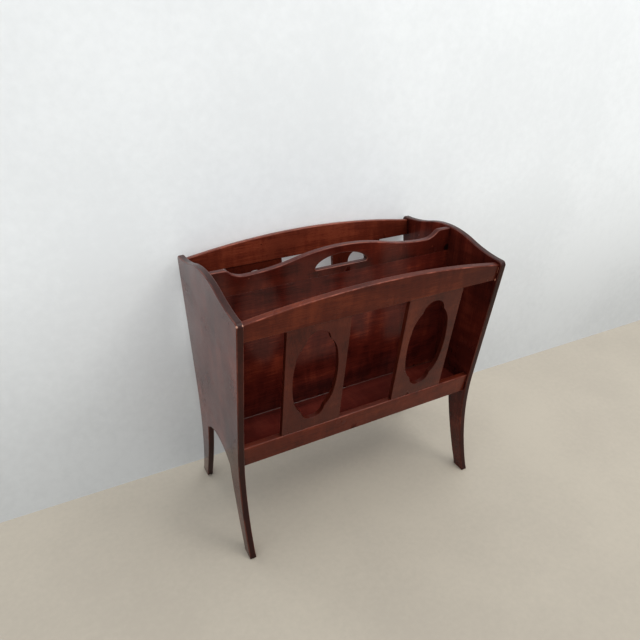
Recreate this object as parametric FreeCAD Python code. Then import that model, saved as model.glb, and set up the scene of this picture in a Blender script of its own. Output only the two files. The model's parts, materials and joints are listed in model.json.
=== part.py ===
import FreeCAD, Part
import math
import os

# Magazine rack: two end panels that are also the legs, four leaning rails, four pierced splats,
# a centre divider with a hand hole, and a bottom board. All glued, nothing moves.
# Millimetres. X runs along the rack, Y from front to back, Z up. Origin at the floor, centred.

# Driving dimensions.
STOCK = 12.0              # thickness of panels, rails and divider
THIN = 9.0                # thickness of the splats
FLOOR_T = 10.0            # thickness of the bottom board
INNER_HALF = 244.5        # centre to the inner face of an end panel
LEAN = 8.12               # lean of the front and back, degrees from upright
LEAN_FOOT = 80.1          # half-depth where the leaning edge line would meet the floor
EAR_Z = 500.0             # height of the ears at the four top corners
CROWN_Z = 523.0           # height of the hump at the middle of an end panel
WAIST = 109.0             # smallest half-depth of an end panel
LEG_SWEEP = 500.0         # radius of the outward sweep of the legs
SETBACK = 5.05            # end-panel edge to the outer face of the rails, along Y
HOUSING = 4.0             # depth of the housings in the end panels
ARRIS = 1.6               # rounding along the long edges
SOFT = 0.6                # rounding along small edges

# Leg opening in an end panel.
FOOT_INNER = 109.5        # half-width of the opening at the floor
LEG_MID = (80.0, 84.0)    # a point on the inner edge of the leg, half-width and height
KNEE = (60.0, 168.5)      # where the leg meets the arch, half-width and height
ARCH_Z = 190.0            # crown of the opening
KNEE_R = 10.0             # rounding at the knee
EAR_R = 8.0               # rounding at the ear
CROWN_SHARE = 0.42        # share of the half-depth that the hump takes

# Rails and splats. Heights here run up the lean, from the floor, on the outer face.
LOW_RAIL = (196.0, 238.0)
TOP_RAIL_FOOT = 467.0
TOP_RAIL_END = 498.3
TOP_RAIL_CROWN = 518.7
SPLAT_X = 115.0           # centre of a splat from the middle of the rack
SPLAT_W = 116.0
SPLAT_TENON_W = 92.0
SPLAT_TENON_T = 5.0
SPLAT_TENON_L = 8.0

# Cartouche opening in a splat.
OPENING_V = 356.2         # height of its centre, up the lean
OVAL_HALF_W = 42.6
OVAL_SIDE = 44.0          # half-height of the long side curve
OVAL_SIDE_IN = 4.1        # how far that curve has come in at its ends
NOTCH = (22.5, 75.0)      # where the dome meets the oval, from the centre
DOME_V = 96.2             # top of the dome, from the centre

# Divider.
FLOOR_TOP = 215.3         # top face of the bottom board
SEAM_Z = 474.0            # glued seam between the two boards of the divider
TONGUE_T = 4.0
TONGUE_H = 5.0
HANDLE_Z = 527.0          # crown of the handle
DIP_Z = 505.0
DIP_X = 186.0             # centre to the lowest point of the scroll
SHOULDER_X = 222.0        # centre to the start of the flat shoulder
SHOULDER_Z = 520.0
SHOULDER_SHARE = 0.25     # share of the outer scroll that bends outward
DIVIDER_STOP_Z = 500.0    # top of the housing in the end panel
HOLE_Z = 488.0            # flat foot of the hand hole
HOLE_HALF_W = 54.0
HOLE_RISE = 23.5
HOLE_CORNER = 3.0

# Dowels, blocks and screws.
DOWEL_R = 3.0
DOWEL_IN_PANEL = 8.0
DOWEL_IN_RAIL = 18.0
DOWEL_SPARE = 0.6         # empty depth past each dowel end
TOP_DOWELS = (475.0, 490.0)
LOW_DOWELS = (202.5, 231.0)
BLOCK_L = 60.0
BLOCK_DEPTH = 18.0
BLOCK_FOOT_Z = 196.6
BLOCK_X = (-160.0, 0.0, 160.0)
SCREW_X = (-200.0, -70.0, 70.0, 200.0)
SCREW_R = 1.75
SCREW_LEN = 30.0
SCREW_HEAD_R = 3.5
SCREW_HEAD_H = 3.0
SCREW_SLOT_W = 0.9
SCREW_SLOT_H = 1.26

# Tolerances for picking edges.
TOUCH = 0.001             # coordinates this close are the same
NEARBY = 1.0              # an edge this close to a named point is the one meant

# Worked-out sizes.
lean = math.radians(LEAN)
run = math.tan(lean)
outer_half = INNER_HALF + STOCK
housed_half = INNER_HALF + HOUSING
rail_foot_y = LEAN_FOOT - SETBACK
floor_bottom = FLOOR_TOP - FLOOR_T
divider_foot = FLOOR_TOP - HOUSING
sweep_y = WAIST + LEG_SWEEP
sweep_z = (sweep_y - LEAN_FOOT - LEG_SWEEP / math.cos(lean)) / run
X_AXIS = FreeCAD.Vector(1, 0, 0)
Z_AXIS = FreeCAD.Vector(0, 0, 1)
ORIGIN = FreeCAD.Vector(0, 0, 0)


def vec(x, y, z):
    return FreeCAD.Vector(x, y, z)


def arc(a, b, c):
    return Part.Arc(a, b, c).toShape()


def line(a, b):
    return Part.makeLine(a, b)


def face_of(edges):
    return Part.Face(Part.Wire(Part.sortEdges(edges)[0]))


def box(x0, x1, y0, y1, z0, z1):
    return Part.makeBox(x1 - x0, y1 - y0, z1 - z0, vec(x0, y0, z0))


def cyma(start, end, share, make):
    """Two equal-angle arcs, level at both ends. share is the part of the run before they meet."""
    (h0, z0), (h1, z1) = start, end
    meet_h = h0 + (h1 - h0) * share
    meet_z = z0 + (z1 - z0) * share
    parts = []
    for (ha, za), (hb, zb) in ((start, (meet_h, meet_z)), (end, (meet_h, meet_z))):
        wide = abs(hb - ha)
        high = abs(zb - za)
        radius = (wide * wide + high * high) / (2 * high)
        half_angle = math.asin(wide / radius) / 2
        sign_h = math.copysign(1, hb - ha)
        sign_z = math.copysign(1, zb - za)
        mid = (ha + sign_h * radius * math.sin(half_angle),
               za + sign_z * radius * (1 - math.cos(half_angle)))
        parts.append(arc(make(ha, za), make(*mid), make(hb, zb)))
    return parts


def sweep_point(z):
    """Half-depth of the outer edge of a leg at height z, on the sweep."""
    return sweep_y - math.sqrt(LEG_SWEEP ** 2 - (z - sweep_z) ** 2)


def panel_outline():
    """Outline of an end panel in the plane x = 0."""
    edges = []
    tangent_z = sweep_z + LEG_SWEEP * math.sin(lean)
    ear_y = LEAN_FOOT + run * EAR_Z
    for side in (-1, 1):
        def at(y, z, side=side):
            return vec(0, side * y, z)
        edges += cyma((0, CROWN_Z), (ear_y, EAR_Z), CROWN_SHARE, at)
        edges.append(line(at(ear_y, EAR_Z), at(LEAN_FOOT + run * tangent_z, tangent_z)))
        edges.append(arc(at(sweep_point(tangent_z), tangent_z),
                         at(sweep_point(tangent_z / 2), tangent_z / 2),
                         at(sweep_point(0), 0)))
        edges.append(line(at(sweep_point(0), 0), at(FOOT_INNER, 0)))
        edges.append(arc(at(FOOT_INNER, 0), at(*LEG_MID), at(*KNEE)))
    edges.append(arc(vec(0, -KNEE[0], KNEE[1]), vec(0, 0, ARCH_Z), vec(0, KNEE[0], KNEE[1])))
    return face_of(edges)


def edges_near(shape, points):
    """Edges parallel to X whose middle is near one of the (y, z) points."""
    found = []
    for edge in shape.Edges:
        low = edge.BoundBox
        if low.XLength < STOCK / 2 or max(low.YLength, low.ZLength) > NEARBY:
            continue
        mid = low.Center
        if any(math.hypot(mid.y - y, mid.z - z) < NEARBY for y, z in points):
            found.append(edge)
    return found


def flat_edges(shape, x):
    """Edges that lie in the plane at x."""
    return [e for e in shape.Edges
            if abs(e.BoundBox.XMin - x) < TOUCH and abs(e.BoundBox.XMax - x) < TOUCH]


def end_panel(side):
    blank = panel_outline().extrude(vec(STOCK, 0, 0))
    ear_y = LEAN_FOOT + run * EAR_Z
    ears = edges_near(blank, [(ear_y, EAR_Z), (-ear_y, EAR_Z)])
    blank = blank.makeFillet(EAR_R, ears)
    knees = edges_near(blank, [KNEE, (-KNEE[0], KNEE[1])])
    blank = blank.makeFillet(KNEE_R, knees)
    feet = [(s * y, 0) for s in (-1, 1) for y in (FOOT_INNER, sweep_point(0))]
    blank = blank.makeFillet(ARRIS, edges_near(blank, feet))
    blank = blank.makeFillet(ARRIS, flat_edges(blank, 0) + flat_edges(blank, STOCK))
    blank.translate(vec(INNER_HALF if side > 0 else -outer_half, 0, 0))
    return blank.cut(Part.makeCompound(panel_housings() + dowel_holes()))


def panel_housings():
    """Slots in both end panels for the bottom board and the divider."""
    cuts = []
    for side in (-1, 1):
        x0, x1 = sorted((side * INNER_HALF, side * housed_half))
        cuts.append(bottom_blank().common(box(x0, x1, -WAIST, WAIST, 0, CROWN_Z)))
        cuts.append(box(x0, x1, -STOCK / 2, STOCK / 2, divider_foot, DIVIDER_STOP_Z))
    return cuts


def leaned(shape, front):
    """Place a piece drawn upright (Y inward from its outer face, Z up) on the leaning side."""
    placed = shape.copy()
    placed.rotate(ORIGIN, X_AXIS, LEAN)
    placed.translate(vec(0, -rail_foot_y, 0))
    if not front:
        placed.rotate(ORIGIN, Z_AXIS, 180)
    return placed


def rail_blank(profile):
    """Rail extruded through the stock, with its four long edges rounded."""
    blank = profile.extrude(vec(0, STOCK, 0))
    long_edges = [e for e in blank.Edges
                  if e.BoundBox.XLength > INNER_HALF and e.BoundBox.YLength < STOCK / 2]
    return blank.makeFillet(ARRIS, long_edges)


def top_rail_upright():
    left, right = -INNER_HALF, INNER_HALF
    foot = [vec(left, 0, TOP_RAIL_FOOT), vec(right, 0, TOP_RAIL_FOOT)]
    head = [vec(left, 0, TOP_RAIL_END), vec(right, 0, TOP_RAIL_END)]
    crown = vec(0, 0, TOP_RAIL_CROWN)
    profile = face_of([line(*foot), line(foot[0], head[0]), line(foot[1], head[1]),
                       arc(head[0], crown, head[1])])
    return rail_blank(profile)


def low_rail_upright():
    low, high = LOW_RAIL
    corners = [vec(-INNER_HALF, 0, low), vec(INNER_HALF, 0, low),
               vec(INNER_HALF, 0, high), vec(-INNER_HALF, 0, high)]
    edges = [line(corners[i], corners[(i + 1) % 4]) for i in range(4)]
    return rail_blank(face_of(edges))


def tenon_box(centre_x, low, high):
    y0 = (STOCK - SPLAT_TENON_T) / 2
    half = SPLAT_TENON_W / 2
    return box(centre_x - half, centre_x + half, y0, y0 + SPLAT_TENON_T, low, high)


def mortises():
    """Slots for the splat tenons, in both rails, a little deeper than the tenons."""
    deep = SPLAT_TENON_L + DOWEL_SPARE
    cuts = []
    for x in (-SPLAT_X, SPLAT_X):
        cuts.append(tenon_box(x, LOW_RAIL[1] - deep, LOW_RAIL[1]))
        cuts.append(tenon_box(x, TOP_RAIL_FOOT, TOP_RAIL_FOOT + deep))
    return cuts


def cartouche(depth):
    """Solid the shape of the opening: a tall oval with a smaller dome at each end."""
    side_x = OVAL_HALF_W - OVAL_SIDE_IN
    side_r = (OVAL_SIDE ** 2 + OVAL_SIDE_IN ** 2) / (2 * OVAL_SIDE_IN)
    start = math.asin(OVAL_SIDE / side_r)
    chord_x = side_x - NOTCH[0]
    chord_v = NOTCH[1] - OVAL_SIDE
    turn = 2 * (math.atan2(chord_x, chord_v) - start)
    shoulder_r = math.hypot(chord_x, chord_v) / (2 * math.sin(turn / 2))
    centre_x = side_x - shoulder_r * math.cos(start)
    centre_v = OVAL_SIDE - shoulder_r * math.sin(start)
    mid_angle = start + turn / 2
    shoulder = (centre_x + shoulder_r * math.cos(mid_angle),
                centre_v + shoulder_r * math.sin(mid_angle))
    edges = []
    for sx in (-1, 1):
        edges.append(arc(vec(sx * side_x, 0, -OVAL_SIDE), vec(sx * OVAL_HALF_W, 0, 0),
                         vec(sx * side_x, 0, OVAL_SIDE)))
        for sv in (-1, 1):
            edges.append(arc(vec(sx * side_x, 0, sv * OVAL_SIDE),
                             vec(sx * shoulder[0], 0, sv * shoulder[1]),
                             vec(sx * NOTCH[0], 0, sv * NOTCH[1])))
    for sv in (-1, 1):
        edges.append(arc(vec(-NOTCH[0], 0, sv * NOTCH[1]), vec(0, 0, sv * DOME_V),
                         vec(NOTCH[0], 0, sv * NOTCH[1])))
    return face_of(edges).extrude(vec(0, depth, 0))


def splat_upright(centre_x):
    y0 = (STOCK - THIN) / 2
    low, high = LOW_RAIL[1], TOP_RAIL_FOOT
    blank = box(centre_x - SPLAT_W / 2, centre_x + SPLAT_W / 2, y0, y0 + THIN, low, high)
    uprights = [e for e in blank.Edges if e.BoundBox.ZLength > SPLAT_W]
    blank = blank.makeFillet(SOFT, uprights)
    opening = cartouche(STOCK)
    opening.translate(vec(centre_x, 0, OPENING_V))
    blank = blank.cut(opening)
    lower = tenon_box(centre_x, low - SPLAT_TENON_L, low)
    upper = tenon_box(centre_x, high, high + SPLAT_TENON_L)
    return blank.fuse([lower, upper]).removeSplitter()


def dowels_upright(heights, spare=0.0):
    """Dowels at both ends of a rail. spare lengthens them for cutting their holes."""
    pins = []
    for v in heights:
        for side in (-1, 1):
            start = side * (INNER_HALF + DOWEL_IN_PANEL + spare)
            length = DOWEL_IN_PANEL + DOWEL_IN_RAIL + 2 * spare
            pins.append(Part.makeCylinder(DOWEL_R, length, vec(start, STOCK / 2, v),
                                          vec(-side, 0, 0)))
    return pins


def dowel_holes():
    """Cutters for the dowel holes of all four rails, placed in the rack."""
    holes = []
    for front in (True, False):
        for hole in dowels_upright(TOP_DOWELS + LOW_DOWELS, DOWEL_SPARE):
            holes.append(leaned(hole, front))
    return holes


def rounded_dowels(heights, front):
    pins = []
    for pin in dowels_upright(heights):
        ends = [e for e in pin.Edges if e.BoundBox.XLength < TOUCH]
        pins.append(leaned(pin.makeChamfer(SOFT, ends), front))
    return Part.makeCompound(pins)


def rail_y(z, inward):
    """Y on the front side at height z, measured inward from the outer face of the rails."""
    return -(rail_foot_y + run * z) + inward / math.cos(lean)


def wedge(x0, x1, inner_y, z0, z1):
    """Block with one leaning face against the inner face of the front rails."""
    section = [vec(x0, rail_y(z0, STOCK), z0), vec(x0, inner_y, z0),
               vec(x0, inner_y, z1), vec(x0, rail_y(z1, STOCK), z1)]
    edges = [line(section[i], section[(i + 1) % 4]) for i in range(4)]
    return face_of(edges).extrude(vec(x1 - x0, 0, 0))


def bottom_blank():
    front = wedge(-housed_half, housed_half, 0, floor_bottom, FLOOR_TOP)
    back = front.copy()
    back.rotate(ORIGIN, Z_AXIS, 180)
    return front.fuse(back).removeSplitter()


def screw(x, spare=0.0):
    """Countersunk screw pointing up, its head flush with the underside of the bottom board."""
    head = Part.makeCone(SCREW_HEAD_R, SCREW_R, SCREW_HEAD_H, vec(x, 0, floor_bottom))
    length = SCREW_LEN - SCREW_HEAD_H - 2 * SCREW_R + spare
    shank = Part.makeCylinder(SCREW_R, length, vec(x, 0, floor_bottom + SCREW_HEAD_H))
    point = Part.makeCone(SCREW_R, 0.0, 2 * SCREW_R,
                          vec(x, 0, floor_bottom + SCREW_HEAD_H + length))
    return head.fuse([shank, point]).removeSplitter()


def slotted(screw_shape, x):
    half = SCREW_SLOT_W / 2
    slot = box(x - SCREW_HEAD_R, x + SCREW_HEAD_R, -half, half,
               floor_bottom, floor_bottom + SCREW_SLOT_H)
    return screw_shape.cut(slot)


def screw_holes():
    return Part.makeCompound([screw(x, DOWEL_SPARE) for x in SCREW_X])


def bottom_board():
    groove = box(-housed_half, housed_half, -STOCK / 2, STOCK / 2, divider_foot, FLOOR_TOP)
    return bottom_blank().cut(groove).cut(screw_holes())


def divider_lower_board():
    board = box(-housed_half, housed_half, -STOCK / 2, STOCK / 2, divider_foot, SEAM_Z)
    tongue = box(-INNER_HALF, INNER_HALF, -TONGUE_T / 2, TONGUE_T / 2, SEAM_Z, SEAM_Z + TONGUE_H)
    return board.fuse(tongue).removeSplitter().cut(screw_holes())


def handle_face():
    """Front face of the handle board: flat shoulders, a dip on each side, a raised handle."""
    y = -STOCK / 2
    edges = [line(vec(-housed_half, y, SEAM_Z), vec(housed_half, y, SEAM_Z))]
    for side in (-1, 1):
        def at(x, z, side=side):
            return vec(side * x, y, z)
        edges += cyma((0, HANDLE_Z), (DIP_X, DIP_Z), 0.5, at)
        edges += cyma((DIP_X, DIP_Z), (SHOULDER_X, SHOULDER_Z), 1 - SHOULDER_SHARE, at)
        corners = [at(SHOULDER_X, SHOULDER_Z), at(INNER_HALF, SHOULDER_Z),
                   at(INNER_HALF, DIVIDER_STOP_Z), at(housed_half, DIVIDER_STOP_Z),
                   at(housed_half, SEAM_Z)]
        edges += [line(a, b) for a, b in zip(corners, corners[1:])]
    return face_of(edges)


def hand_hole():
    """Opening with a flat foot and a half-oval top."""
    y = -STOCK
    oval = Part.Ellipse(ORIGIN, HOLE_HALF_W, HOLE_RISE)
    top = Part.Arc(oval, 0, math.pi).toShape()
    top.rotate(ORIGIN, X_AXIS, 90)
    top.translate(vec(0, y, HOLE_Z))
    ends = [vec(-HOLE_HALF_W, y, HOLE_Z), vec(HOLE_HALF_W, y, HOLE_Z)]
    solid = face_of([top, line(*ends)]).extrude(vec(0, 2 * STOCK, 0))
    corners = [e for e in solid.Edges
               if e.BoundBox.YLength > STOCK and abs(e.BoundBox.Center.z - HOLE_Z) < TOUCH]
    return solid.makeFillet(HOLE_CORNER, corners)


def divider_handle_board():
    board = handle_face().extrude(vec(0, STOCK, 0)).cut(hand_hole())
    round_over = []
    for edge in board.Edges:
        size = edge.BoundBox
        if size.YLength > TOUCH or size.ZMin < HOLE_Z - TOUCH:
            continue
        if size.ZMin < DIVIDER_STOP_Z and size.XLength < TOUCH:
            continue
        if size.XMax > INNER_HALF + TOUCH or size.XMin < -INNER_HALF - TOUCH:
            continue
        round_over.append(edge)
    board = board.makeFillet(ARRIS, round_over)
    groove = box(-INNER_HALF, INNER_HALF, -TONGUE_T / 2, TONGUE_T / 2, SEAM_Z, SEAM_Z + TONGUE_H)
    return board.cut(groove)


def glue_blocks(front):
    blocks = []
    for x in BLOCK_X:
        inner = rail_y(floor_bottom, STOCK) + BLOCK_DEPTH
        block = wedge(x - BLOCK_L / 2, x + BLOCK_L / 2, inner, BLOCK_FOOT_Z, floor_bottom)
        if not front:
            block.rotate(ORIGIN, Z_AXIS, 180)
        blocks.append(block)
    return Part.makeCompound(blocks)


def save(name, shape):
    shape.exportStep(os.path.join("parts", name + ".step"))


os.makedirs("parts", exist_ok=True)

save("left_end_panel", end_panel(-1))
save("right_end_panel", end_panel(1))

rail_cuts = Part.makeCompound(mortises() + dowels_upright(TOP_DOWELS + LOW_DOWELS, DOWEL_SPARE))
top_rail = top_rail_upright().cut(rail_cuts)
low_rail = low_rail_upright().cut(rail_cuts)
for side_name, is_front in (("front", True), ("back", False)):
    save(side_name + "_top_rail", leaned(top_rail, is_front))
    save(side_name + "_bottom_rail", leaned(low_rail, is_front))
    save(side_name + "_top_rail_dowels", rounded_dowels(TOP_DOWELS, is_front))
    save(side_name + "_bottom_rail_dowels", rounded_dowels(LOW_DOWELS, is_front))
    save(side_name + "_glue_blocks", glue_blocks(is_front))
    # The back splats are the front ones turned round, so left and right change places.
    for hand, centre in (("left", -SPLAT_X), ("right", SPLAT_X)):
        x = centre if is_front else -centre
        save(side_name + "_" + hand + "_splat", leaned(splat_upright(x), is_front))

save("bottom_board", bottom_board())
save("divider_lower_board", divider_lower_board())
save("divider_handle_board", divider_handle_board())
save("divider_screws", Part.makeCompound([slotted(screw(x), x) for x in SCREW_X]))
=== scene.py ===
import json
import math

import bmesh
import bpy
import numpy as np
from mathutils import Euler, Matrix, Vector, geometry, noise


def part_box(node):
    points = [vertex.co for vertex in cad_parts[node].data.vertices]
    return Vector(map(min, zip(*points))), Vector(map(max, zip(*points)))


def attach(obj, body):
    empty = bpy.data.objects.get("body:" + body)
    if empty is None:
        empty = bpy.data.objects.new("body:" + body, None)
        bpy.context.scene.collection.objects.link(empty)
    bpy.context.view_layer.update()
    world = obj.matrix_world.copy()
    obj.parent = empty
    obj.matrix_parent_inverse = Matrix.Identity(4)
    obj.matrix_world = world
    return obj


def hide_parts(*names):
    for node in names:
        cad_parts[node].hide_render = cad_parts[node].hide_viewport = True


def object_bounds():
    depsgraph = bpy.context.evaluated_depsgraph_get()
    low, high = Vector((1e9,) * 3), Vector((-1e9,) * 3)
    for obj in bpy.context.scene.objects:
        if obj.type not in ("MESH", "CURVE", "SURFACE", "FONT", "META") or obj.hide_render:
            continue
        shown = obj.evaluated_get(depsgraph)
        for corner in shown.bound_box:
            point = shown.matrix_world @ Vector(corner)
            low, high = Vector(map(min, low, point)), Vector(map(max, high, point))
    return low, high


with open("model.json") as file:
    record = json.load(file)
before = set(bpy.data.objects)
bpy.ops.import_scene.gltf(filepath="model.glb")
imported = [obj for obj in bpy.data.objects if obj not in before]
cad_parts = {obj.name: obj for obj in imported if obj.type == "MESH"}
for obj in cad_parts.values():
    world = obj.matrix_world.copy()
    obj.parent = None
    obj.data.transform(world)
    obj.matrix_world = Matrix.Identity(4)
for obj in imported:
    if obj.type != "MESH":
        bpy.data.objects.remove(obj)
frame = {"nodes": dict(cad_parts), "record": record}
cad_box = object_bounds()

# Looks for a mahogany magazine rack. Metres, in the CAD frame: X along the rack, Y to the back, Z up.
# The end panels, rails, splats and divider boards are rebuilt from their CAD nodes' own outlines,
# with hand-softened edges; the other nodes keep their own meshes.

MM = 0.001
UP = Vector((0, 0, 1))
QUARTER = math.pi / 2

# Outlines.
SECTION_DEPTH = 1.8 * MM      # below the face, past the rounding and short of the hidden joints
FACING = 0.9                  # how squarely a CAD face looks out of the board's face
LEAST_OUTLINE = 30 * MM       # anything shorter is a sliver
LEAST_TURN = math.radians(0.12)
SPACING = 8.0 * MM            # between points along an outline
TURN_STEP = math.radians(7)   # largest turn between two points of a curve
CORNER = math.radians(16)     # a larger turn than this is a corner
CORNER_CHORD = 2 * MM         # where both chords beside it are longer than this
STRAIGHT_RATIO = 2.0          # a chord this much longer than its neighbours is a straight
EMBED = 2.0 * MM              # how far a splat's end runs into the rail
HOUSED = 3.0 * MM             # how far a rail's end runs into the end panel

# Faces and arrises.
GRID = 14.0 * MM              # between the points inside a flat face
CLEARANCE = 0.45              # share of that kept between them and the outline
EDGE_STEPS = 5                # faces round an arris
FLATNESS = 0.10 * MM          # how deep a planed face dips below flat
FLATNESS_SCALE = 9.0          # waves per metre
TILT_STEP = 2 * MM            # over which a dip's slope is measured
ARRIS = 2.6 * MM              # rounding of the long edges
FOOT_ARRIS = 0.9 * MM         # at the feet, whose own corners are rounded
FOOT_REACH = 2.5 * MM
LOWER_ARRIS = 0.8 * MM        # along the foot of a rail
LOWER_REACH = 4.0 * MM
SPLAT_ARRIS = 0.7 * MM
SEAM_ARRIS = 0.25 * MM        # along the divider's glued seam
SEAM_REACH = 2.0 * MM

# Runs of old glue and varnish.
BEAD_STEPS = 4
BEAD_SWELL = 0.35             # how unevenly thick a run is
BEAD_LUMPS = 60               # per metre
BEAD_END = 0.3                # share of its size at its ends
RUN_SIZE = 1.3 * MM           # run of varnish along the divider's foot
JOINT_RUN_SIZE = 0.5 * MM     # thin pale run up the end of the top rail: glue, and a painted highlight along the joint
CORNER_RUN_SIZE = 1.6 * MM    # lump of glue at its foot
RAIL_END_HEIGHT = 31.3 * MM   # height of a top rail's end

# Wood. Each layer of mahogany's figure: waves per metre along the fibres and across them, then the
# noise's own scale, detail, roughness and distortion.
LAYERS = {
    "figure": (1.6, 9, 2.0, 4.0, 0.55, 0.6),
    "ribbon": (26, 7, 2.0, 3.0, 0.55, 0.4),
    "fine": (4, 150, 5.0, 4.0, 0.65, 0.0),
    "pore": (24, 620, 5.0, 1.0, 0.5, 0.0)}
LAYER_SHARES = {"figure": 0.50, "fine": 0.27, "ribbon": 0.23}
STAIN_AND_SHADE = 0.4                   # colour of pores, of thickly stained edges, of the darker feet and of painted shade in corners, as a share of the dark tone
CORNER_SHADE_REACH = 14 * MM          # how far from a corner the painted shade reaches
FEET_DARKENING_HEIGHT = 0.24       # the legs are darker from here down to the floor
SPOT_RAGGED = 0.6             # waves round a spot's outline for each of its radii
COAT_ROUGHNESS = 0.15
COAT_IOR = 1.45

# Stage: the rack stands against a wall that is not quite square to it.
STAGE_HALF = 3.0
WALL_Y = 0.160
WALL_SLOPE = -0.02
WALL_HIGH = 2.4
GLOW_LOW, GLOW_HIGH = 0.04, 0.26    # the wall's own faint light, at the floor and from GLOW_TOP up
GLOW_TOP = 0.6
LAMPS = (                     # name, place, width and height, watts, colour
    ("soft_front", (1.05, -1.25, 2.2135), (0.9, 0.5), 9.0, (1.0, 0.97, 0.93)),
    ("soft_overhead", (0.5, -0.5, 2.6), (3.2, 2.0), 26.0, (1.0, 0.99, 0.96)),
    ("soft_back", (-0.8, 1.8, 1.5), (1.4, 0.9), 5.0, (1.0, 0.98, 0.95)))
SKY_COLOUR = (0.93, 0.96, 1.0, 1.0)
SKY_STRENGTH = 0.8
CAMERA_AT = Vector((-0.4858, -0.8230, 0.8871))
CAMERA_YAW = math.radians(28.404)
CAMERA_PITCH = math.radians(28.314)
CAMERA_ROLL = math.radians(0.445)
CAMERA_LENS = 31.98           # millimetres, on a sensor of the next width
CAMERA_SENSOR = 36.0

SLOTS = {row["node"]: row["material_slot"] for row in frame["record"]["subparts"]}
panel_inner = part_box("right_end_panel")[0].x


# Outlines read from the CAD nodes.

def welded(node):
    """The CAD node's mesh with its split vertices joined."""
    mesh = bmesh.new()
    mesh.from_mesh(frame["nodes"][node].data)
    bmesh.ops.remove_doubles(mesh, verts=mesh.verts, dist=1e-6)
    return mesh


class Face:
    """Axes of a board: u runs level along its face, v up the face, w out of the face."""

    def __init__(self, node, toward):
        mesh = welded(node)
        toward = Vector(toward)
        areas = {}
        for face in mesh.faces:
            if face.normal.dot(toward) > FACING:
                key = tuple(round(c, 3) for c in face.normal)
                areas.setdefault(key, Vector((0, 0, 0)))
                areas[key] += face.normal * face.calc_area()
        self.w = max(areas.values(), key=lambda v: v.length).normalized()
        self.u = UP.cross(self.w).normalized()
        self.v = self.w.cross(self.u)
        reach = [self.w.dot(vert.co) for vert in mesh.verts]
        self.front, self.back = max(reach), min(reach)
        self.foot = min(self.v.dot(vert.co) for vert in mesh.verts)
        self.node = node
        mesh.free()

    def flat(self, point):
        return Vector((self.u.dot(point), self.v.dot(point)))

    def solid(self, point, w):
        return self.u * point[0] + self.v * point[1] + self.w * w


def walk(edges):
    """Closed loops of vertices made by the edges."""
    links = {}
    for edge in edges:
        a, b = edge.verts
        links.setdefault(a, []).append(b)
        links.setdefault(b, []).append(a)
    loops = []
    left = set(links)
    while left:
        start = min(left, key=lambda vert: vert.index)
        loop = [start]
        left.discard(start)
        while True:
            ahead = [vert for vert in links[loop[-1]] if vert in left]
            if not ahead:
                break
            loop.append(ahead[0])
            left.discard(ahead[0])
        loops.append(loop)
    return loops


def area_of(points):
    return sum(a.cross(b) for a, b in zip(points, points[1:] + points[:1])) / 2


def turn_at(points, i):
    before = points[i] - points[i - 1]
    after = points[(i + 1) % len(points)] - points[i]
    return math.atan2(before.cross(after), before.dot(after))


def true_corners(points):
    """Drops the points that a triangle's diagonal left in the middle of a straight chord."""
    return [p for i, p in enumerate(points) if abs(turn_at(points, i)) > LEAST_TURN]


def outlines(face):
    """Outlines of the board just under its face: the outer one first, wood always on the left."""
    mesh = welded(face.node)
    geom = mesh.verts[:] + mesh.edges[:] + mesh.faces[:]
    cut = bmesh.ops.bisect_plane(mesh, geom=geom, dist=1e-7, plane_no=face.w,
                                 plane_co=face.w * (face.front - SECTION_DEPTH))
    mesh.verts.index_update()
    edges = [item for item in cut["geom_cut"] if isinstance(item, bmesh.types.BMEdge)]
    found = []
    for loop in walk(edges):
        points = true_corners([face.flat(vert.co) for vert in loop])
        length = sum((a - b).length for a, b in zip(points, points[1:]))
        if len(points) > 2 and length > LEAST_OUTLINE:
            found.append(points)
    mesh.free()
    found.sort(key=lambda points: -abs(area_of(points)))
    for rank, points in enumerate(found):
        if (area_of(points) > 0) != (rank == 0):
            points.reverse()
    return found


def unit(vector):
    return vector.normalized() if vector.length > 0 else vector


def tangent_between(before, after, before_straight, after_straight):
    """Direction of a smooth outline where the chord before meets the chord after."""
    if before_straight and after_straight:
        return unit(unit(before) + unit(after))
    if after_straight:
        return unit(after)
    if before_straight:
        return unit(before)
    return unit(unit(before) * after.length + unit(after) * before.length)


def end_tangents(chord, straight, start, end):
    """Directions at both ends of the curve over a chord. None, at a corner, mirrors the other end."""
    along = unit(chord)
    if straight:
        return along, along
    if start is None:
        start = along if end is None else end.reflect(along.orthogonal())
    if end is None:
        end = start.reflect(along.orthogonal())
    return start, end


def stops_along(chord, tangents, corners, rounding):
    """Shares of a chord where points go. Near a corner one stands just clear of the rounding."""
    bend = abs(tangents[0].angle_signed(tangents[1], 0))
    steps = max(1, math.ceil(chord.length / SPACING), math.ceil(bend / TURN_STEP))
    stops = [k / steps for k in range(steps)]
    keep = rounding * 1.2 + 0.1 * MM
    if chord.length > 4 * keep:
        for end, turn in corners:
            share = keep * math.tan(abs(turn) / 2) / chord.length
            stops = [s for s in stops if s == 0 or share * 1.5 < abs(end - s)]
            stops.append(abs(end - share))
    return sorted(stops)


def on_cubic(start, end, tangents, length, s):
    """Point at share s of the cubic that leaves start and meets end along the tangents."""
    s2, s3 = s * s, s * s * s
    point = start * (2 * s3 - 3 * s2 + 1) + tangents[0] * (length * (s3 - 2 * s2 + s))
    return point + end * (3 * s2 - 2 * s3) + tangents[1] * (length * (s3 - s2))


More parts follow.
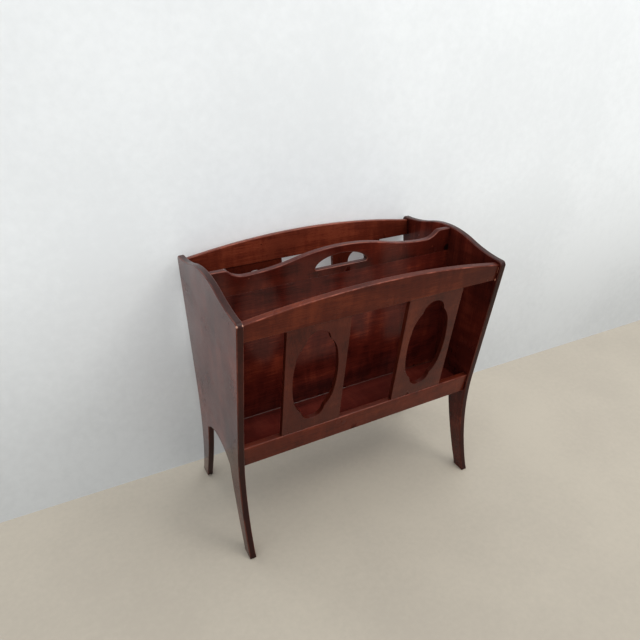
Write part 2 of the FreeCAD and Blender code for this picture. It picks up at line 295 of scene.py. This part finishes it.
def smooth(points, radius):
    """The closed outline with its arcs filled in. Corners and straights stay as they are."""
    count = len(points)
    chords = [points[(i + 1) % count] - points[i] for i in range(count)]
    turns = [turn_at(points, i) for i in range(count)]
    corner = [abs(turn) > CORNER and min(chords[i - 1].length, chords[i].length) > CORNER_CHORD
              for i, turn in enumerate(turns)]
    straight = []
    for i, chord in enumerate(chords):
        after = (i + 1) % count
        near = [chords[j].length for j, end in ((i - 1, i), (after, after)) if not corner[end]]
        straight.append(not near or chord.length > STRAIGHT_RATIO * max(near))
    headings = [None if corner[i] else
                tangent_between(chords[i - 1], chords[i], straight[i - 1], straight[i])
                for i in range(count)]
    result = []
    for i, chord in enumerate(chords):
        after = (i + 1) % count
        tangents = end_tangents(chord, straight[i], headings[i], headings[after])
        corners = [(end, turns[at]) for end, at in ((0, i), (1, after)) if corner[at]]
        for s in stops_along(chord, tangents, corners, radius(points[i])):
            result.append(on_cubic(points[i], points[after], tangents, chord.length, s))
    return result


def widened(points, limit_u=None, limit_v=None, by=EMBED):
    """The outline with its hidden ends moved out, past limit_u along u or past limit_v along v."""
    moved = []
    for point in points:
        place = point.copy()
        if limit_u and abs(place.x) > limit_u:
            place.x += math.copysign(by, place.x)
        if limit_v and not limit_v[0] < place.y < limit_v[1]:
            place.y += by if place.y > limit_v[0] else -by
        moved.append(place)
    return moved


def in_wood(points, loops):
    """True for each point that is in the wood, by counting the outlines it would cross."""
    where = np.array(points)
    crossings = np.zeros(len(where), int)
    for loop in loops:
        start = np.array(loop)
        end = np.roll(start, -1, axis=0)
        spans = (start[:, 1] > where[:, None, 1]) != (end[:, 1] > where[:, None, 1])
        rise = np.where(start[:, 1] == end[:, 1], 1, end[:, 1] - start[:, 1])
        reach = (where[:, None, 1] - start[:, 1]) / rise
        crossings += (spans & (where[:, None, 0] < start[:, 0] + reach * (end - start)[:, 0])).sum(1)
    return crossings % 2 == 1


# Boards.

def dip(point, seed):
    """Depth of a planed face below flat, at a place on it."""
    spot = Vector((point[0], point[1] * 0.6, seed * 3.7)) * FLATNESS_SCALE
    return FLATNESS * (0.5 + 0.5 * max(-1, min(1, noise.noise(spot))))


def face_triangles(loops):
    """Triangles over the flat face inside the loops, with a staggered grid of points in it."""
    rim = np.array([p for loop in loops for p in loop])
    edges = []
    first = 0
    for loop in loops:
        edges += [(first + i, first + (i + 1) % len(loop)) for i in range(len(loop))]
        first += len(loop)
    (low_u, low_v), (high_u, high_v) = rim.min(0), rim.max(0)
    rows = max(1, round((high_v - low_v) / GRID))
    columns = max(1, round((high_u - low_u) / GRID))
    grid = np.array([(low_u + (column + 0.5 * (row % 2)) * (high_u - low_u) / columns,
                      low_v + row * (high_v - low_v) / rows)
                     for row in range(rows + 1) for column in range(columns + 1)])
    clear = np.linalg.norm(grid[:, None] - rim, axis=2).min(1) > GRID * CLEARANCE
    grid = grid[clear & in_wood(grid, loops)]
    points = [Vector(p) for p in np.concatenate([rim, grid])]
    verts, _, triangles, sources = geometry.delaunay_2d_cdt(points, edges, [], 0, 1e-7)[:4]
    if len(verts) != len(points):
        raise ValueError("the outline crosses itself")
    order = [origin[0] for origin in sources]
    middles = [sum((verts[i] for i in triangle), Vector((0, 0))) / 3 for triangle in triangles]
    kept = in_wood(middles, loops)
    return points, [[order[i] for i in t] for t, keep in zip(triangles, kept) if keep]


class Shell:
    """The surface of one board while it is built. side is 1 at the front face and -1 at the back."""

    def __init__(self, face, seed):
        self.face = face
        self.seed = seed
        self.verts, self.normals, self.faces = [], [], []
        self.worn_edge, self.edge_band = [], []

    def add(self, point, w, normal, angle):
        """A point of the surface. angle goes from 0 on the edge to a quarter turn on a face."""
        self.verts.append(self.face.solid(point, w))
        self.normals.append(normal)
        # Band along the middle of each arris, where the arris colour paints rubbed wood and a painted
        # highlight.
        self.worn_edge.append(math.sin(2 * angle))
        self.edge_band.append(math.cos(angle) ** 2)
        return len(self.verts) - 1

    def level(self, side):
        return self.face.front if side > 0 else self.face.back

    def rim(self, loop, radius):
        """The edge along one outline, rounded to both faces. Returns its rings, front to back."""
        count = len(loop)
        outward = []
        for i in range(count):
            step = loop[(i + 1) % count] - loop[i]
            outward.append(unit(Vector((step.y, -step.x))))
        quarter = [QUARTER * k / EDGE_STEPS for k in range(EDGE_STEPS, -1, -1)]
        rings = []
        for side in (1, -1):
            for angle in quarter[::side]:
                ring = []
                for i, point in enumerate(loop):
                    both = outward[i - 1] + outward[i]
                    mitre = both / (1 + outward[i - 1].dot(outward[i]))
                    size = radius(point)
                    place = point - mitre * size * (1 - math.cos(angle))
                    sink = size * (1 - math.sin(angle)) + dip(place, self.seed) * math.sin(angle)
                    normal = self.face.solid(unit(both), 0) * math.cos(angle)
                    normal += self.face.w * (side * math.sin(angle))
                    w = self.level(side) - side * sink
                    ring.append(self.add(place, w, normal.normalized(), angle))
                rings.append(ring)
        for upper, lower in zip(rings, rings[1:]):
            for i in range(count):
                after = (i + 1) % count
                self.faces.append((upper[i], lower[i], lower[after], upper[after]))
        return rings

    def fill(self, rings, side):
        """The flat face inside the rings."""
        ids = [i for ring in rings for i in ring]
        loops = [[self.face.flat(self.verts[i]) for i in ring] for ring in rings]
        points, triangles = face_triangles(loops)
        for point in points[len(ids):]:
            w = self.level(side) - side * dip(point, self.seed)
            ids.append(self.add(point, w, self.face.w * side, QUARTER))
        for triangle in triangles:
            a, b, c = (ids[i] for i in triangle)
            self.faces.append((a, b, c) if side > 0 else (a, c, b))

    def lean_normals(self):
        """Leans the normals of the flat faces with the slope of their dips."""
        for i, normal in enumerate(self.normals):
            if abs(normal.dot(self.face.w)) > 0.999:
                at = self.face.flat(self.verts[i])
                here = dip(at, self.seed)
                slope_u = (dip(at + Vector((TILT_STEP, 0)), self.seed) - here) / TILT_STEP
                slope_v = (dip(at + Vector((0, TILT_STEP)), self.seed) - here) / TILT_STEP
                leaning = normal + self.face.u * slope_u + self.face.v * slope_v
                self.normals[i] = leaning.normalized()

    def piece(self, name):
        mesh = bpy.data.meshes.new(name)
        mesh.from_pydata(self.verts, [], self.faces)
        mesh.validate()
        mesh.shade_smooth()
        mesh.normals_split_custom_set_from_vertices(self.normals)
        for layer_name in ("worn_edge", "edge_band"):
            layer = mesh.attributes.new(layer_name, "FLOAT", "POINT")
            layer.data.foreach_set("value", getattr(self, layer_name))
        return in_scene(name, mesh)


def in_scene(name, data):
    thing = bpy.data.objects.new(name, data)
    bpy.context.scene.collection.objects.link(thing)
    return thing


def board(name, face, loops, radius, seed):
    """A board with the given outlines and rounded arrises. radius(point) is the rounding there."""
    shell = Shell(face, seed)
    rims = [shell.rim(loop, radius) for loop in loops]
    shell.fill([rings[0] for rings in rims], 1)
    shell.fill([rings[-1] for rings in rims], -1)
    shell.lean_normals()
    return shell.piece(name)


def rebuilt(name, toward, radius, seed, adjust=None):
    """A CAD board rebuilt from its own outline, riding on the rack and standing for the node."""
    face = Face(name, toward)
    loops = outlines(face)
    if adjust:
        loops = [adjust(points) for points in loops]
    loops = [smooth(points, lambda p: radius(p, face)) for points in loops]
    piece = board(name + "_wood", face, loops, lambda p: radius(p, face), seed)
    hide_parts(name)
    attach(piece, "root")
    return piece


def bead(name, start, end, out_a, out_b, size, material, step=3.0 * MM):
    """A thin run of old glue or varnish in the corner between directions out_a and out_b."""
    start, end = Vector(start), Vector(end)
    out_a, out_b = Vector(out_a), Vector(out_b)
    count = max(2, round((end - start).length / step))
    verts, faces = [], []
    for i in range(count + 1):
        centre = start.lerp(end, i / count)
        swell = 1 + BEAD_SWELL * noise.noise(centre * BEAD_LUMPS)
        if i in (0, count):
            swell *= BEAD_END
        section = [Vector((0, 0, 0))]
        for k in range(BEAD_STEPS + 1):
            angle = QUARTER * k / BEAD_STEPS
            section.append(out_a * math.cos(angle) + out_b * math.sin(angle))
        verts += [centre + point * size * swell for point in section]
    ring = BEAD_STEPS + 2
    for i in range(count):
        for k in range(ring):
            a, b = i * ring + k, i * ring + (k + 1) % ring
            faces.append((a, b, b + ring, a + ring))
    faces.append(tuple(range(ring)))
    faces.append(tuple(count * ring + k for k in reversed(range(ring))))
    mesh = bpy.data.meshes.new(name)
    mesh.from_pydata(verts, [], faces)
    outward = bmesh.new()
    outward.from_mesh(mesh)
    bmesh.ops.recalc_face_normals(outward, faces=outward.faces)
    outward.to_mesh(mesh)
    outward.free()
    mesh.shade_smooth()
    mesh.materials.append(material)
    piece = in_scene(name, mesh)
    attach(piece, "root")
    return piece


# Materials.

class Nodes:
    """Builds one material's nodes. Each call adds a node and returns the output that it makes."""

    def __init__(self, name):
        self.material = bpy.data.materials.new(name)
        self.material.use_nodes = True
        self.tree = self.material.node_tree
        self.tree.nodes.clear()

    def add(self, kind, ins=(), out=0, **settings):
        node = self.tree.nodes.new("ShaderNode" + kind)
        for key, value in settings.items():
            setattr(node, key, value)
        for key, value in dict(ins).items():
            if isinstance(value, bpy.types.NodeSocket):
                self.tree.links.new(value, node.inputs[key])
            else:
                node.inputs[key].default_value = value
        return node.outputs[out]

    def math(self, operation, a, b):
        return self.add("Math", {0: a, 1: b}, operation=operation)

    def span(self, value, low, high, to_low=0.0, to_high=1.0):
        """Maps low to high smoothly on to to_low to to_high."""
        ins = {"Value": value, "From Min": low, "From Max": high, "To Min": to_low, "To Max": to_high}
        return self.add("MapRange", ins, interpolation_type="SMOOTHSTEP")

    def mix(self, share, a, b):
        """Colour a where share is 0, b where it is 1."""
        node = self.tree.nodes.new("ShaderNodeMix")
        node.data_type = "RGBA"
        for name, value in (("Factor_Float", share), ("A_Color", a), ("B_Color", b)):
            socket = next(s for s in node.inputs if s.identifier == name)
            if isinstance(value, bpy.types.NodeSocket):
                self.tree.links.new(value, socket)
            else:
                socket.default_value = value
        return next(s for s in node.outputs if s.identifier == "Result_Color")

    def noise(self, place, scale, detail=2.0, rough=0.5, distort=0.0):
        ins = {"Vector": place, "Scale": scale, "Detail": detail, "Roughness": rough,
               "Distortion": distort}
        return self.add("TexNoise", ins, noise_dimensions="3D")

    def where(self):
        return self.add("TexCoord", out="Object")

    def height(self):
        return self.add("SeparateXYZ", {0: self.where()}, out="Z")

    def place(self, scale=(1, 1, 1), shift=(0, 0, 0)):
        return self.add("Mapping", {"Vector": self.where(), "Scale": scale, "Location": shift})

    def attribute(self, name):
        return self.add("Attribute", out="Fac", attribute_name=name, attribute_type="GEOMETRY")

    def finish(self, shader):
        end = self.tree.nodes.new("ShaderNodeOutputMaterial")
        self.tree.links.new(shader, end.inputs["Surface"])
        return self.material


def rgb(red, green, blue):
    """Scene-linear colour from the usual 0 to 255 screen values."""
    levels = []
    for value in (red, green, blue):
        c = value / 255
        levels.append(c / 12.92 if c <= 0.04045 else ((c + 0.055) / 1.055) ** 2.4)
    return (*levels, 1.0)


def darker(colour, share):
    return tuple(c * share for c in colour[:3]) + (1.0,)


def with_grain(grain, along, across):
    """Scale of a pattern whose fibres run along X or Z."""
    return {"X": (along, across, across), "Z": (across, across, along)}[grain]


def figured(n, layer, cloud, tones):
    """Colour of clean mahogany, from its layers of figure and its darker clouds."""
    dark, mid, light = tones
    parts = [n.math("MULTIPLY", layer[key], share) for key, share in LAYER_SHARES.items()]
    blend = n.math("ADD", n.math("ADD", parts[0], parts[1]), parts[2])
    tone = n.mix(n.span(blend, 0.38, 0.50), dark, mid)
    tone = n.mix(n.span(blend, 0.50, 0.62), tone, light)
    return n.mix(n.span(cloud, 0.42, 0.70, 0.0, 0.55), tone, dark)


def spotted(n, tone, spots):
    """The colour with small ragged marks on it, some of them painted glints and painted shade."""
    for centre, radius, colour in spots:
        gap = n.add("VectorMath", {0: n.where(), 1: centre}, out="Value", operation="DISTANCE")
        ragged = n.noise(n.place(), SPOT_RAGGED / radius, 3.0, 0.6)
        reach = n.math("ADD", gap, n.math("MULTIPLY", ragged, radius))
        tone = n.mix(n.span(reach, radius, radius * 1.5, 1.0, 0.0), tone, colour)
    return tone


def mahogany(name, grain, shift, tones, wear=0.3, edge=0.2, coat=0.2, ior=1.36, feet=0.0, spots=()):
    """Varnished mahogany. grain is X or Z, the way the fibres run. shift moves the figure.
    tones are the dark, middle, light and arris colours; the arris colour is rubbed-through wood and
    also a painted highlight. wear is its share on the arrises, edge how much darker
    the stained edges of the board are. coat and ior set how strongly the varnish reflects. feet is
    how much darker the wood is at the floor. spots are small marks, each with its place, radius and
    colour; some of them are painted glints and painted shade."""
    n = Nodes(name)
    dark_stain_and_shade = darker(tones[0], STAIN_AND_SHADE)
    even = n.place((1, 1, 1), shift)
    layer = {key: n.noise(n.place(with_grain(grain, along, across), shift), *rest)
             for key, (along, across, *rest) in LAYERS.items()}
    pits = n.span(layer["pore"], 0.58, 0.70)
    on_edge = n.attribute("edge_band")
    tone = figured(n, layer, n.noise(even, 6.0, 3.0, 0.5), tones[:3])
    tone = n.mix(n.math("MULTIPLY", pits, 0.5), tone, dark_stain_and_shade)
    # Painted shade: darker where other wood hems the surface in, in corners and between parts.
    openness = n.add("AmbientOcclusion", {"Distance": CORNER_SHADE_REACH}, out="AO", samples=6)
    tone = n.mix(n.span(openness, 0.2, 0.8, 0.5, 0.0), tone, dark_stain_and_shade)
    tone = n.mix(n.math("MULTIPLY", on_edge, edge), tone, dark_stain_and_shade)
    if feet:
        tone = n.mix(n.span(n.height(), 0.0, FEET_DARKENING_HEIGHT, feet, 0.0), tone, dark_stain_and_shade)
    patchy = n.span(n.noise(even, 24.0, 5.0, 0.65), 0.42, 0.64, 0.12, 1.0)
    # Arris colour on the middle of each arris: rubbed-through wood, and painted highlight lines along
    # the rounded edges.
    arris_rub_and_highlight = n.math("MULTIPLY", n.span(n.attribute("worn_edge"), 0.35, 0.98), patchy)
    arris_rub_and_highlight = n.math("MULTIPLY", arris_rub_and_highlight, wear)
    tone = spotted(n, n.mix(arris_rub_and_highlight, tone, tones[3]), spots)
    rough = n.span(n.noise(even, 12.0, 4.0, 0.6), 0.3, 0.7, 0.16, 0.28)
    rough = n.math("ADD", rough, n.math("MULTIPLY", arris_rub_and_highlight, 0.12))
    rough = n.math("ADD", rough, n.math("MULTIPLY", on_edge, 0.10))
    peel = n.noise(even, 120.0, 2.0, 0.5)
    relief = n.math("ADD", n.math("MULTIPLY", peel, 0.4), n.math("MULTIPLY", layer["fine"], 0.3))
    relief = n.math("SUBTRACT", relief, n.math("MULTIPLY", pits, 0.4))
    bump = n.add("Bump", {"Strength": 0.12, "Distance": 0.3 * MM, "Height": relief})
    varnish = n.math("MULTIPLY", n.math("SUBTRACT", 1.0, n.math("MULTIPLY", on_edge, 0.8)), coat)
    shader = n.add("BsdfPrincipled", {
        "Base Color": tone, "Roughness": rough, "Normal": bump, "IOR": ior,
        "Coat Weight": varnish, "Coat Roughness": COAT_ROUGHNESS, "Coat IOR": COAT_IOR})
    return n.finish(shader)


def resin(name, colour, gloss):
    """Old glue or filler: slightly uneven colour, softly shiny."""
    n = Nodes(name)
    patch = n.noise(n.place(), 300.0, 3.0, 0.6)
    tone = n.mix(n.span(patch, 0.35, 0.65), darker(colour, 0.7), colour)
    bump = n.add("Bump", {"Strength": 0.3, "Distance": 0.3 * MM, "Height": patch})
    shader = n.add("BsdfPrincipled", {"Base Color": tone, "Roughness": gloss, "Normal": bump})
    return n.finish(shader)


def steel():
    """Wood screw steel, dulled and spotted with age."""
    n = Nodes("old_steel")
    patch = n.noise(n.place(), 260.0, 4.0, 0.6)
    tone = n.mix(n.span(patch, 0.45, 0.65), rgb(150, 146, 138), rgb(84, 66, 52))
    bump = n.add("Bump", {"Strength": 0.2, "Distance": 0.2 * MM, "Height": patch})
    shader = n.add("BsdfPrincipled", {
        "Base Color": tone, "Metallic": 1.0, "Roughness": n.span(patch, 0.3, 0.7, 0.3, 0.6),
        "Normal": bump})
    return n.finish(shader)


def bare_wood(name, grain, shift, dark, light):
    """Plain unvarnished wood, with soft figure and fine grain along X or Z."""
    n = Nodes(name)
    figure = n.noise(n.place(with_grain(grain, 3, 30), shift), 4.0, 4.0, 0.6, 0.5)
    fine = n.noise(n.place(with_grain(grain, 12, 300), shift), 5.0, 3.0, 0.6)
    blend = n.math("ADD", n.math("MULTIPLY", figure, 0.6), n.math("MULTIPLY", fine, 0.4))
    tone = n.mix(n.span(blend, 0.38, 0.62), dark, light)
    bump = n.add("Bump", {"Strength": 0.2, "Distance": 0.3 * MM, "Height": fine})
    rough = n.span(blend, 0.35, 0.65, 0.72, 0.55)
    return n.finish(n.add("BsdfPrincipled", {"Base Color": tone, "Roughness": rough, "Normal": bump}))


def pale(name, low, high, scale, rough):
    """Nodes and shader of a plain matt surface with faint unevenness."""
    n = Nodes(name)
    patch = n.noise(n.place(), scale, 6.0, 0.6)
    grit = n.noise(n.place(), scale * 30, 3.0, 0.6)
    mixed = n.math("ADD", n.math("MULTIPLY", patch, 0.7), n.math("MULTIPLY", grit, 0.3))
    tone = n.mix(n.span(mixed, 0.35, 0.65), low, high)
    bump = n.add("Bump", {"Strength": 0.15, "Distance": 1 * MM, "Height": grit})
    return n, n.add("BsdfPrincipled", {"Base Color": tone, "Roughness": rough, "Normal": bump})


def pale_floor():
    n, shader = pale("pale_floor", rgb(170, 162, 149), rgb(177, 169, 155), 3.0, 0.75)
    return n.finish(shader)


def pale_wall():
    """Wall with a faint glow of its own, less near the floor. It is clear from behind."""
    n, paint = pale("pale_wall", rgb(196, 198, 198), rgb(205, 207, 207), 2.0, 0.8)
    strength = n.span(n.height(), 0, GLOW_TOP, GLOW_LOW, GLOW_HIGH)
    glow = n.add("Emission", {"Color": rgb(240, 243, 244), "Strength": strength})
    lit = n.add("AddShader", {0: paint, 1: glow})
    behind = n.add("NewGeometry", out="Backfacing")
    return n.finish(n.add("MixShader", {0: behind, 1: lit, 2: n.add("BsdfTransparent")}))


# Stage: the pale floor, a pale wall behind, soft light and the camera.

def sheet_of(name, corners, material):
    mesh = bpy.data.meshes.new(name)
    mesh.from_pydata([Vector(c) for c in corners], [], [(0, 1, 2, 3)])
    mesh.materials.append(material)
    sheet = in_scene(name, mesh)
    return sheet


def set_stage():
    """Floor and wall. The wall shows and is reflected, but blocks no light."""
    half = STAGE_HALF
    sheet_of("floor", [(-half, -half, 0), (half, -half, 0), (half, half, 0), (-half, half, 0)],
             pale_floor())
    left = WALL_Y - WALL_SLOPE * half
    right = WALL_Y + WALL_SLOPE * half
    wall = sheet_of("wall", [(-half, left, 0), (half, right, 0), (half, right, WALL_HIGH),
                             (-half, left, WALL_HIGH)], pale_wall())
    wall.visible_shadow = False
    wall.visible_diffuse = False


def area_light(name, at, toward, size, power, colour):
    data = bpy.data.lights.new(name, "AREA")
    data.shape = "RECTANGLE"
    data.size, data.size_y = size
    data.energy = power
    data.color = colour
    lamp = in_scene(name, data)
    lamp.location = at
    lamp.rotation_mode = "QUATERNION"
    lamp.rotation_quaternion = (Vector(toward) - Vector(at)).to_track_quat("-Z", "Y")


def light_stage():
    middle = (cad_box[0] + cad_box[1]) / 2
    for name, at, size, power, colour in LAMPS:
        area_light(name, at, middle, size, power, colour)
    world = bpy.data.worlds.new("studio")
    world.use_nodes = True
    sky = world.node_tree.nodes["Background"]
    sky.inputs["Color"].default_value = SKY_COLOUR
    sky.inputs["Strength"].default_value = SKY_STRENGTH
    bpy.context.scene.world = world
    bpy.context.scene.view_settings.view_transform = "Standard"
    bpy.context.scene.view_settings.look = "Medium High Contrast"


def place_camera():
    camera = in_scene("camera", bpy.data.cameras.new("camera"))
    camera.data.lens = CAMERA_LENS
    camera.data.sensor_width = CAMERA_SENSOR
    turn = Euler((QUARTER - CAMERA_PITCH, 0, -CAMERA_YAW), "XYZ").to_matrix()
    roll = Matrix.Rotation(CAMERA_ROLL, 3, "Z")
    camera.matrix_world = Matrix.Translation(CAMERA_AT) @ (turn @ roll).to_4x4()
    bpy.context.scene.camera = camera


# Colours of the boards: dark, middle, light, and the arris colour, which is rubbed-through wood and
# also a painted highlight.
RUBBED_AND_HIGHLIGHT = rgb(150, 88, 70)
FRONT_RAIL_TONES = (rgb(60, 20, 13), rgb(86, 34, 20), rgb(110, 50, 29), RUBBED_AND_HIGHLIGHT)
BACK_RAIL_TONES = (rgb(72, 29, 21), rgb(100, 45, 31), rgb(128, 64, 44), RUBBED_AND_HIGHLIGHT)
LOWER_RAIL_TONES = (rgb(70, 27, 18), rgb(98, 42, 27), rgb(124, 58, 36), RUBBED_AND_HIGHLIGHT)
SPLAT_TONES = (rgb(64, 25, 17), rgb(86, 36, 24), rgb(103, 48, 31), RUBBED_AND_HIGHLIGHT)
PANEL_TONES = (rgb(54, 19, 14), rgb(86, 34, 25), rgb(118, 54, 40), RUBBED_AND_HIGHLIGHT)
DIVIDER_TONES = (rgb(62, 20, 16), rgb(94, 36, 27), rgb(134, 60, 41), RUBBED_AND_HIGHLIGHT)
HANDLE_TONES = (rgb(58, 20, 14), rgb(86, 32, 22), rgb(111, 46, 30), RUBBED_AND_HIGHLIGHT)
FLOOR_TONES = (rgb(66, 25, 20), rgb(92, 37, 30), rgb(110, 50, 40), RUBBED_AND_HIGHLIGHT)
# Colour of a knot, also used for a patch of painted shade.
KNOT_AND_SHADE = rgb(30, 9, 7)
FILLER = rgb(150, 84, 62)
BARE_AND_GLINT = rgb(192, 148, 128)


def on_node(node, right, back, up):
    """A place given as shares of a CAD node's box, from its left, front and low corner."""
    low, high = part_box(node)
    shares = Vector((right, back, up))
    return Vector(a + (b - a) * share for a, b, share in zip(low, high, shares))


# Small marks: a knot in the back rail, filled nail holes, painted shade at the divider's right end
# where it meets the right panel, and pale spots on the front left ear that are worn bare wood and
# painted glints.
BACK_RAIL_MARKS = [(on_node("back_top_rail", 0.30, 0.25, 0.66), 1.6 * MM, KNOT_AND_SHADE),
                   (on_node("back_top_rail", 0.16, 0.15, 0.25), 1.0 * MM, FILLER)]
HANDLE_MARKS_AND_SHADE = [(on_node("divider_handle_board", 0.14, 0.0, 0.46), 1.0 * MM, FILLER),
                (on_node("divider_handle_board", 0.78, 0.0, 0.49), 0.8 * MM, FILLER),
                (on_node("divider_handle_board", 0.91, 0.0, 0.28), 0.9 * MM, FILLER),
                # Painted shade: a large dark patch at the right end, where the divider meets the
                # right panel.
                (on_node("divider_handle_board", 0.985, 0.0, 0.12), 9.0 * MM, KNOT_AND_SHADE)]
# Pale spots on the front left ear: worn bare wood, and painted glints.
EAR_RUBS_AND_GLINTS = [(on_node("left_end_panel", 0.13, 0.006, 0.947), 2.3 * MM, BARE_AND_GLINT),
             (on_node("left_end_panel", 0.87, 0.006, 0.947), 2.1 * MM, BARE_AND_GLINT)]


# The rack's boards. Each rounding takes a point of an outline and the board's axes.

def panel_arris(point, face):
    return FOOT_ARRIS if point.y < FOOT_REACH else ARRIS


def rail_arris(point, face):
    return LOWER_ARRIS if point.y < face.foot + LOWER_REACH else ARRIS


def handle_arris(point, face):
    return SEAM_ARRIS if point.y < face.foot + SEAM_REACH else ARRIS


def seam_arris(point, face):
    return SEAM_ARRIS


def splat_arris(point, face):
    return SPLAT_ARRIS


def housed(points):
    """A board's outline with both ends run into the end panels, so that no gap shows there."""
    return widened(points, limit_u=panel_inner - 0.5 * MM, by=HOUSED)


def tenoned(points):
    """A splat's outline with its two ends run into the rails. The opening stays as it is."""
    if area_of(points) < 0:
        return points
    low, high = min(p.y for p in points), max(p.y for p in points)
    return widened(points, limit_v=(low + EMBED, high - EMBED))


def add_board(name, toward, radius, seed, grain, tones, adjust=None, **finish):
    piece = rebuilt(name, toward, radius, seed, adjust)
    shift = (seed * 1.7, seed * 0.9, seed * 2.3)
    piece.data.materials.append(mahogany(name + "_mahogany", grain, shift, tones, **finish))
    return name


def add_end_panels():
    made = []
    for i, (hand, out, marks) in enumerate((("left", -1, EAR_RUBS_AND_GLINTS), ("right", 1, ()))):
        made.append(add_board(hand + "_end_panel", (out, 0, 0), panel_arris, 1 + i, "Z", PANEL_TONES,
                              wear=0.3, edge=0.75, ior=1.4, feet=0.45, spots=marks))
    return made


def add_sides():
    """The rails and splats of the front and the back."""
    made = []
    sides = (("front", -1, FRONT_RAIL_TONES, ()), ("back", 1, BACK_RAIL_TONES, BACK_RAIL_MARKS))
    for i, (side, out, tones, marks) in enumerate(sides):
        toward = (0, out, 0)
        # The top rails take the arris colour fully: painted highlight lines along their top arrises,
        # with rubbed wood.
        made.append(add_board(side + "_top_rail", toward, rail_arris, 3 + i, "X", tones, housed,
                              wear=1.0, edge=0.05, coat=0.1, ior=1.32, spots=marks))
        made.append(add_board(side + "_bottom_rail", toward, rail_arris, 5 + i, "X",
                              LOWER_RAIL_TONES, housed, wear=0.6, coat=0.1, ior=1.32))
        for j, hand in enumerate(("left", "right")):
            made.append(add_board(side + "_" + hand + "_splat", toward, splat_arris, 7 + 2 * i + j,
                                  "Z", SPLAT_TONES, tenoned, wear=0.2, ior=1.34))
    return made


def add_divider():
    toward = (0, -1, 0)
    return [add_board("divider_handle_board", toward, handle_arris, 11, "X", HANDLE_TONES, housed,
                      wear=0.6, spots=HANDLE_MARKS_AND_SHADE),
            add_board("divider_lower_board", toward, seam_arris, 12, "X", DIVIDER_TONES, housed,
                      wear=0.1)]


def add_varnish_runs():
    """Runs of old varnish along the divider's foot, one on each side."""
    low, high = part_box("divider_lower_board")
    floor_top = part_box("bottom_board")[1].z
    half = panel_inner - 1 * MM
    varnish_run = resin("varnish_run", rgb(86, 46, 36), 0.2)
    for side, y, out in (("front", low.y, -1), ("back", high.y, 1)):
        bead("divider_" + side + "_varnish_run", (-half, y, floor_top), (half, y, floor_top),
             (0, out, 0), (0, 0, 1), RUN_SIZE, varnish_run)


def add_glue_runs():
    """Old glue squeezed out at the right end of the front top rail. Its thin pale run up the joint is
    also a painted highlight.
    """
    face = Face("front_top_rail", (0, -1, 0))
    pale_glue_and_highlight = resin("pale_glue_and_highlight", rgb(176, 118, 92), 0.3)
    for name, low, high, size in (("rail_joint_glue_and_highlight", 0.45, 0.85, JOINT_RUN_SIZE),
                                  ("rail_corner_glue", -0.06, 0.10, CORNER_RUN_SIZE)):
        ends = [face.solid((panel_inner, face.foot + RAIL_END_HEIGHT * share), face.front)
                for share in (low, high)]
        bead(name, ends[0], ends[1], face.w, (-1, 0, 0), size, pale_glue_and_highlight, 1.0 * MM)


def finish_kept_nodes(rebuilt_names):
    """The CAD nodes that keep their own mesh take a material by the slot that the record gives."""
    finishes = {
        "mahogany": mahogany("plain_mahogany", "X", (4.1, 0.3, 0.7), FLOOR_TONES),
        "dowel_wood": bare_wood("dowel_wood", "X", (1.1, 2.3, 0.2), rgb(170, 128, 84),
                                rgb(206, 168, 120)),
        "block_wood": bare_wood("block_wood", "X", (0.4, 1.9, 3.3), rgb(122, 74, 46),
                                rgb(158, 104, 68)),
        "screw_steel": steel()}
    for name, node in frame["nodes"].items():
        if name not in rebuilt_names:
            node.data.materials.clear()
            node.data.materials.append(finishes[SLOTS[name]])


set_stage()
light_stage()
place_camera()
boards = add_end_panels() + add_sides() + add_divider()
add_varnish_runs()
add_glue_runs()
finish_kept_nodes(boards)
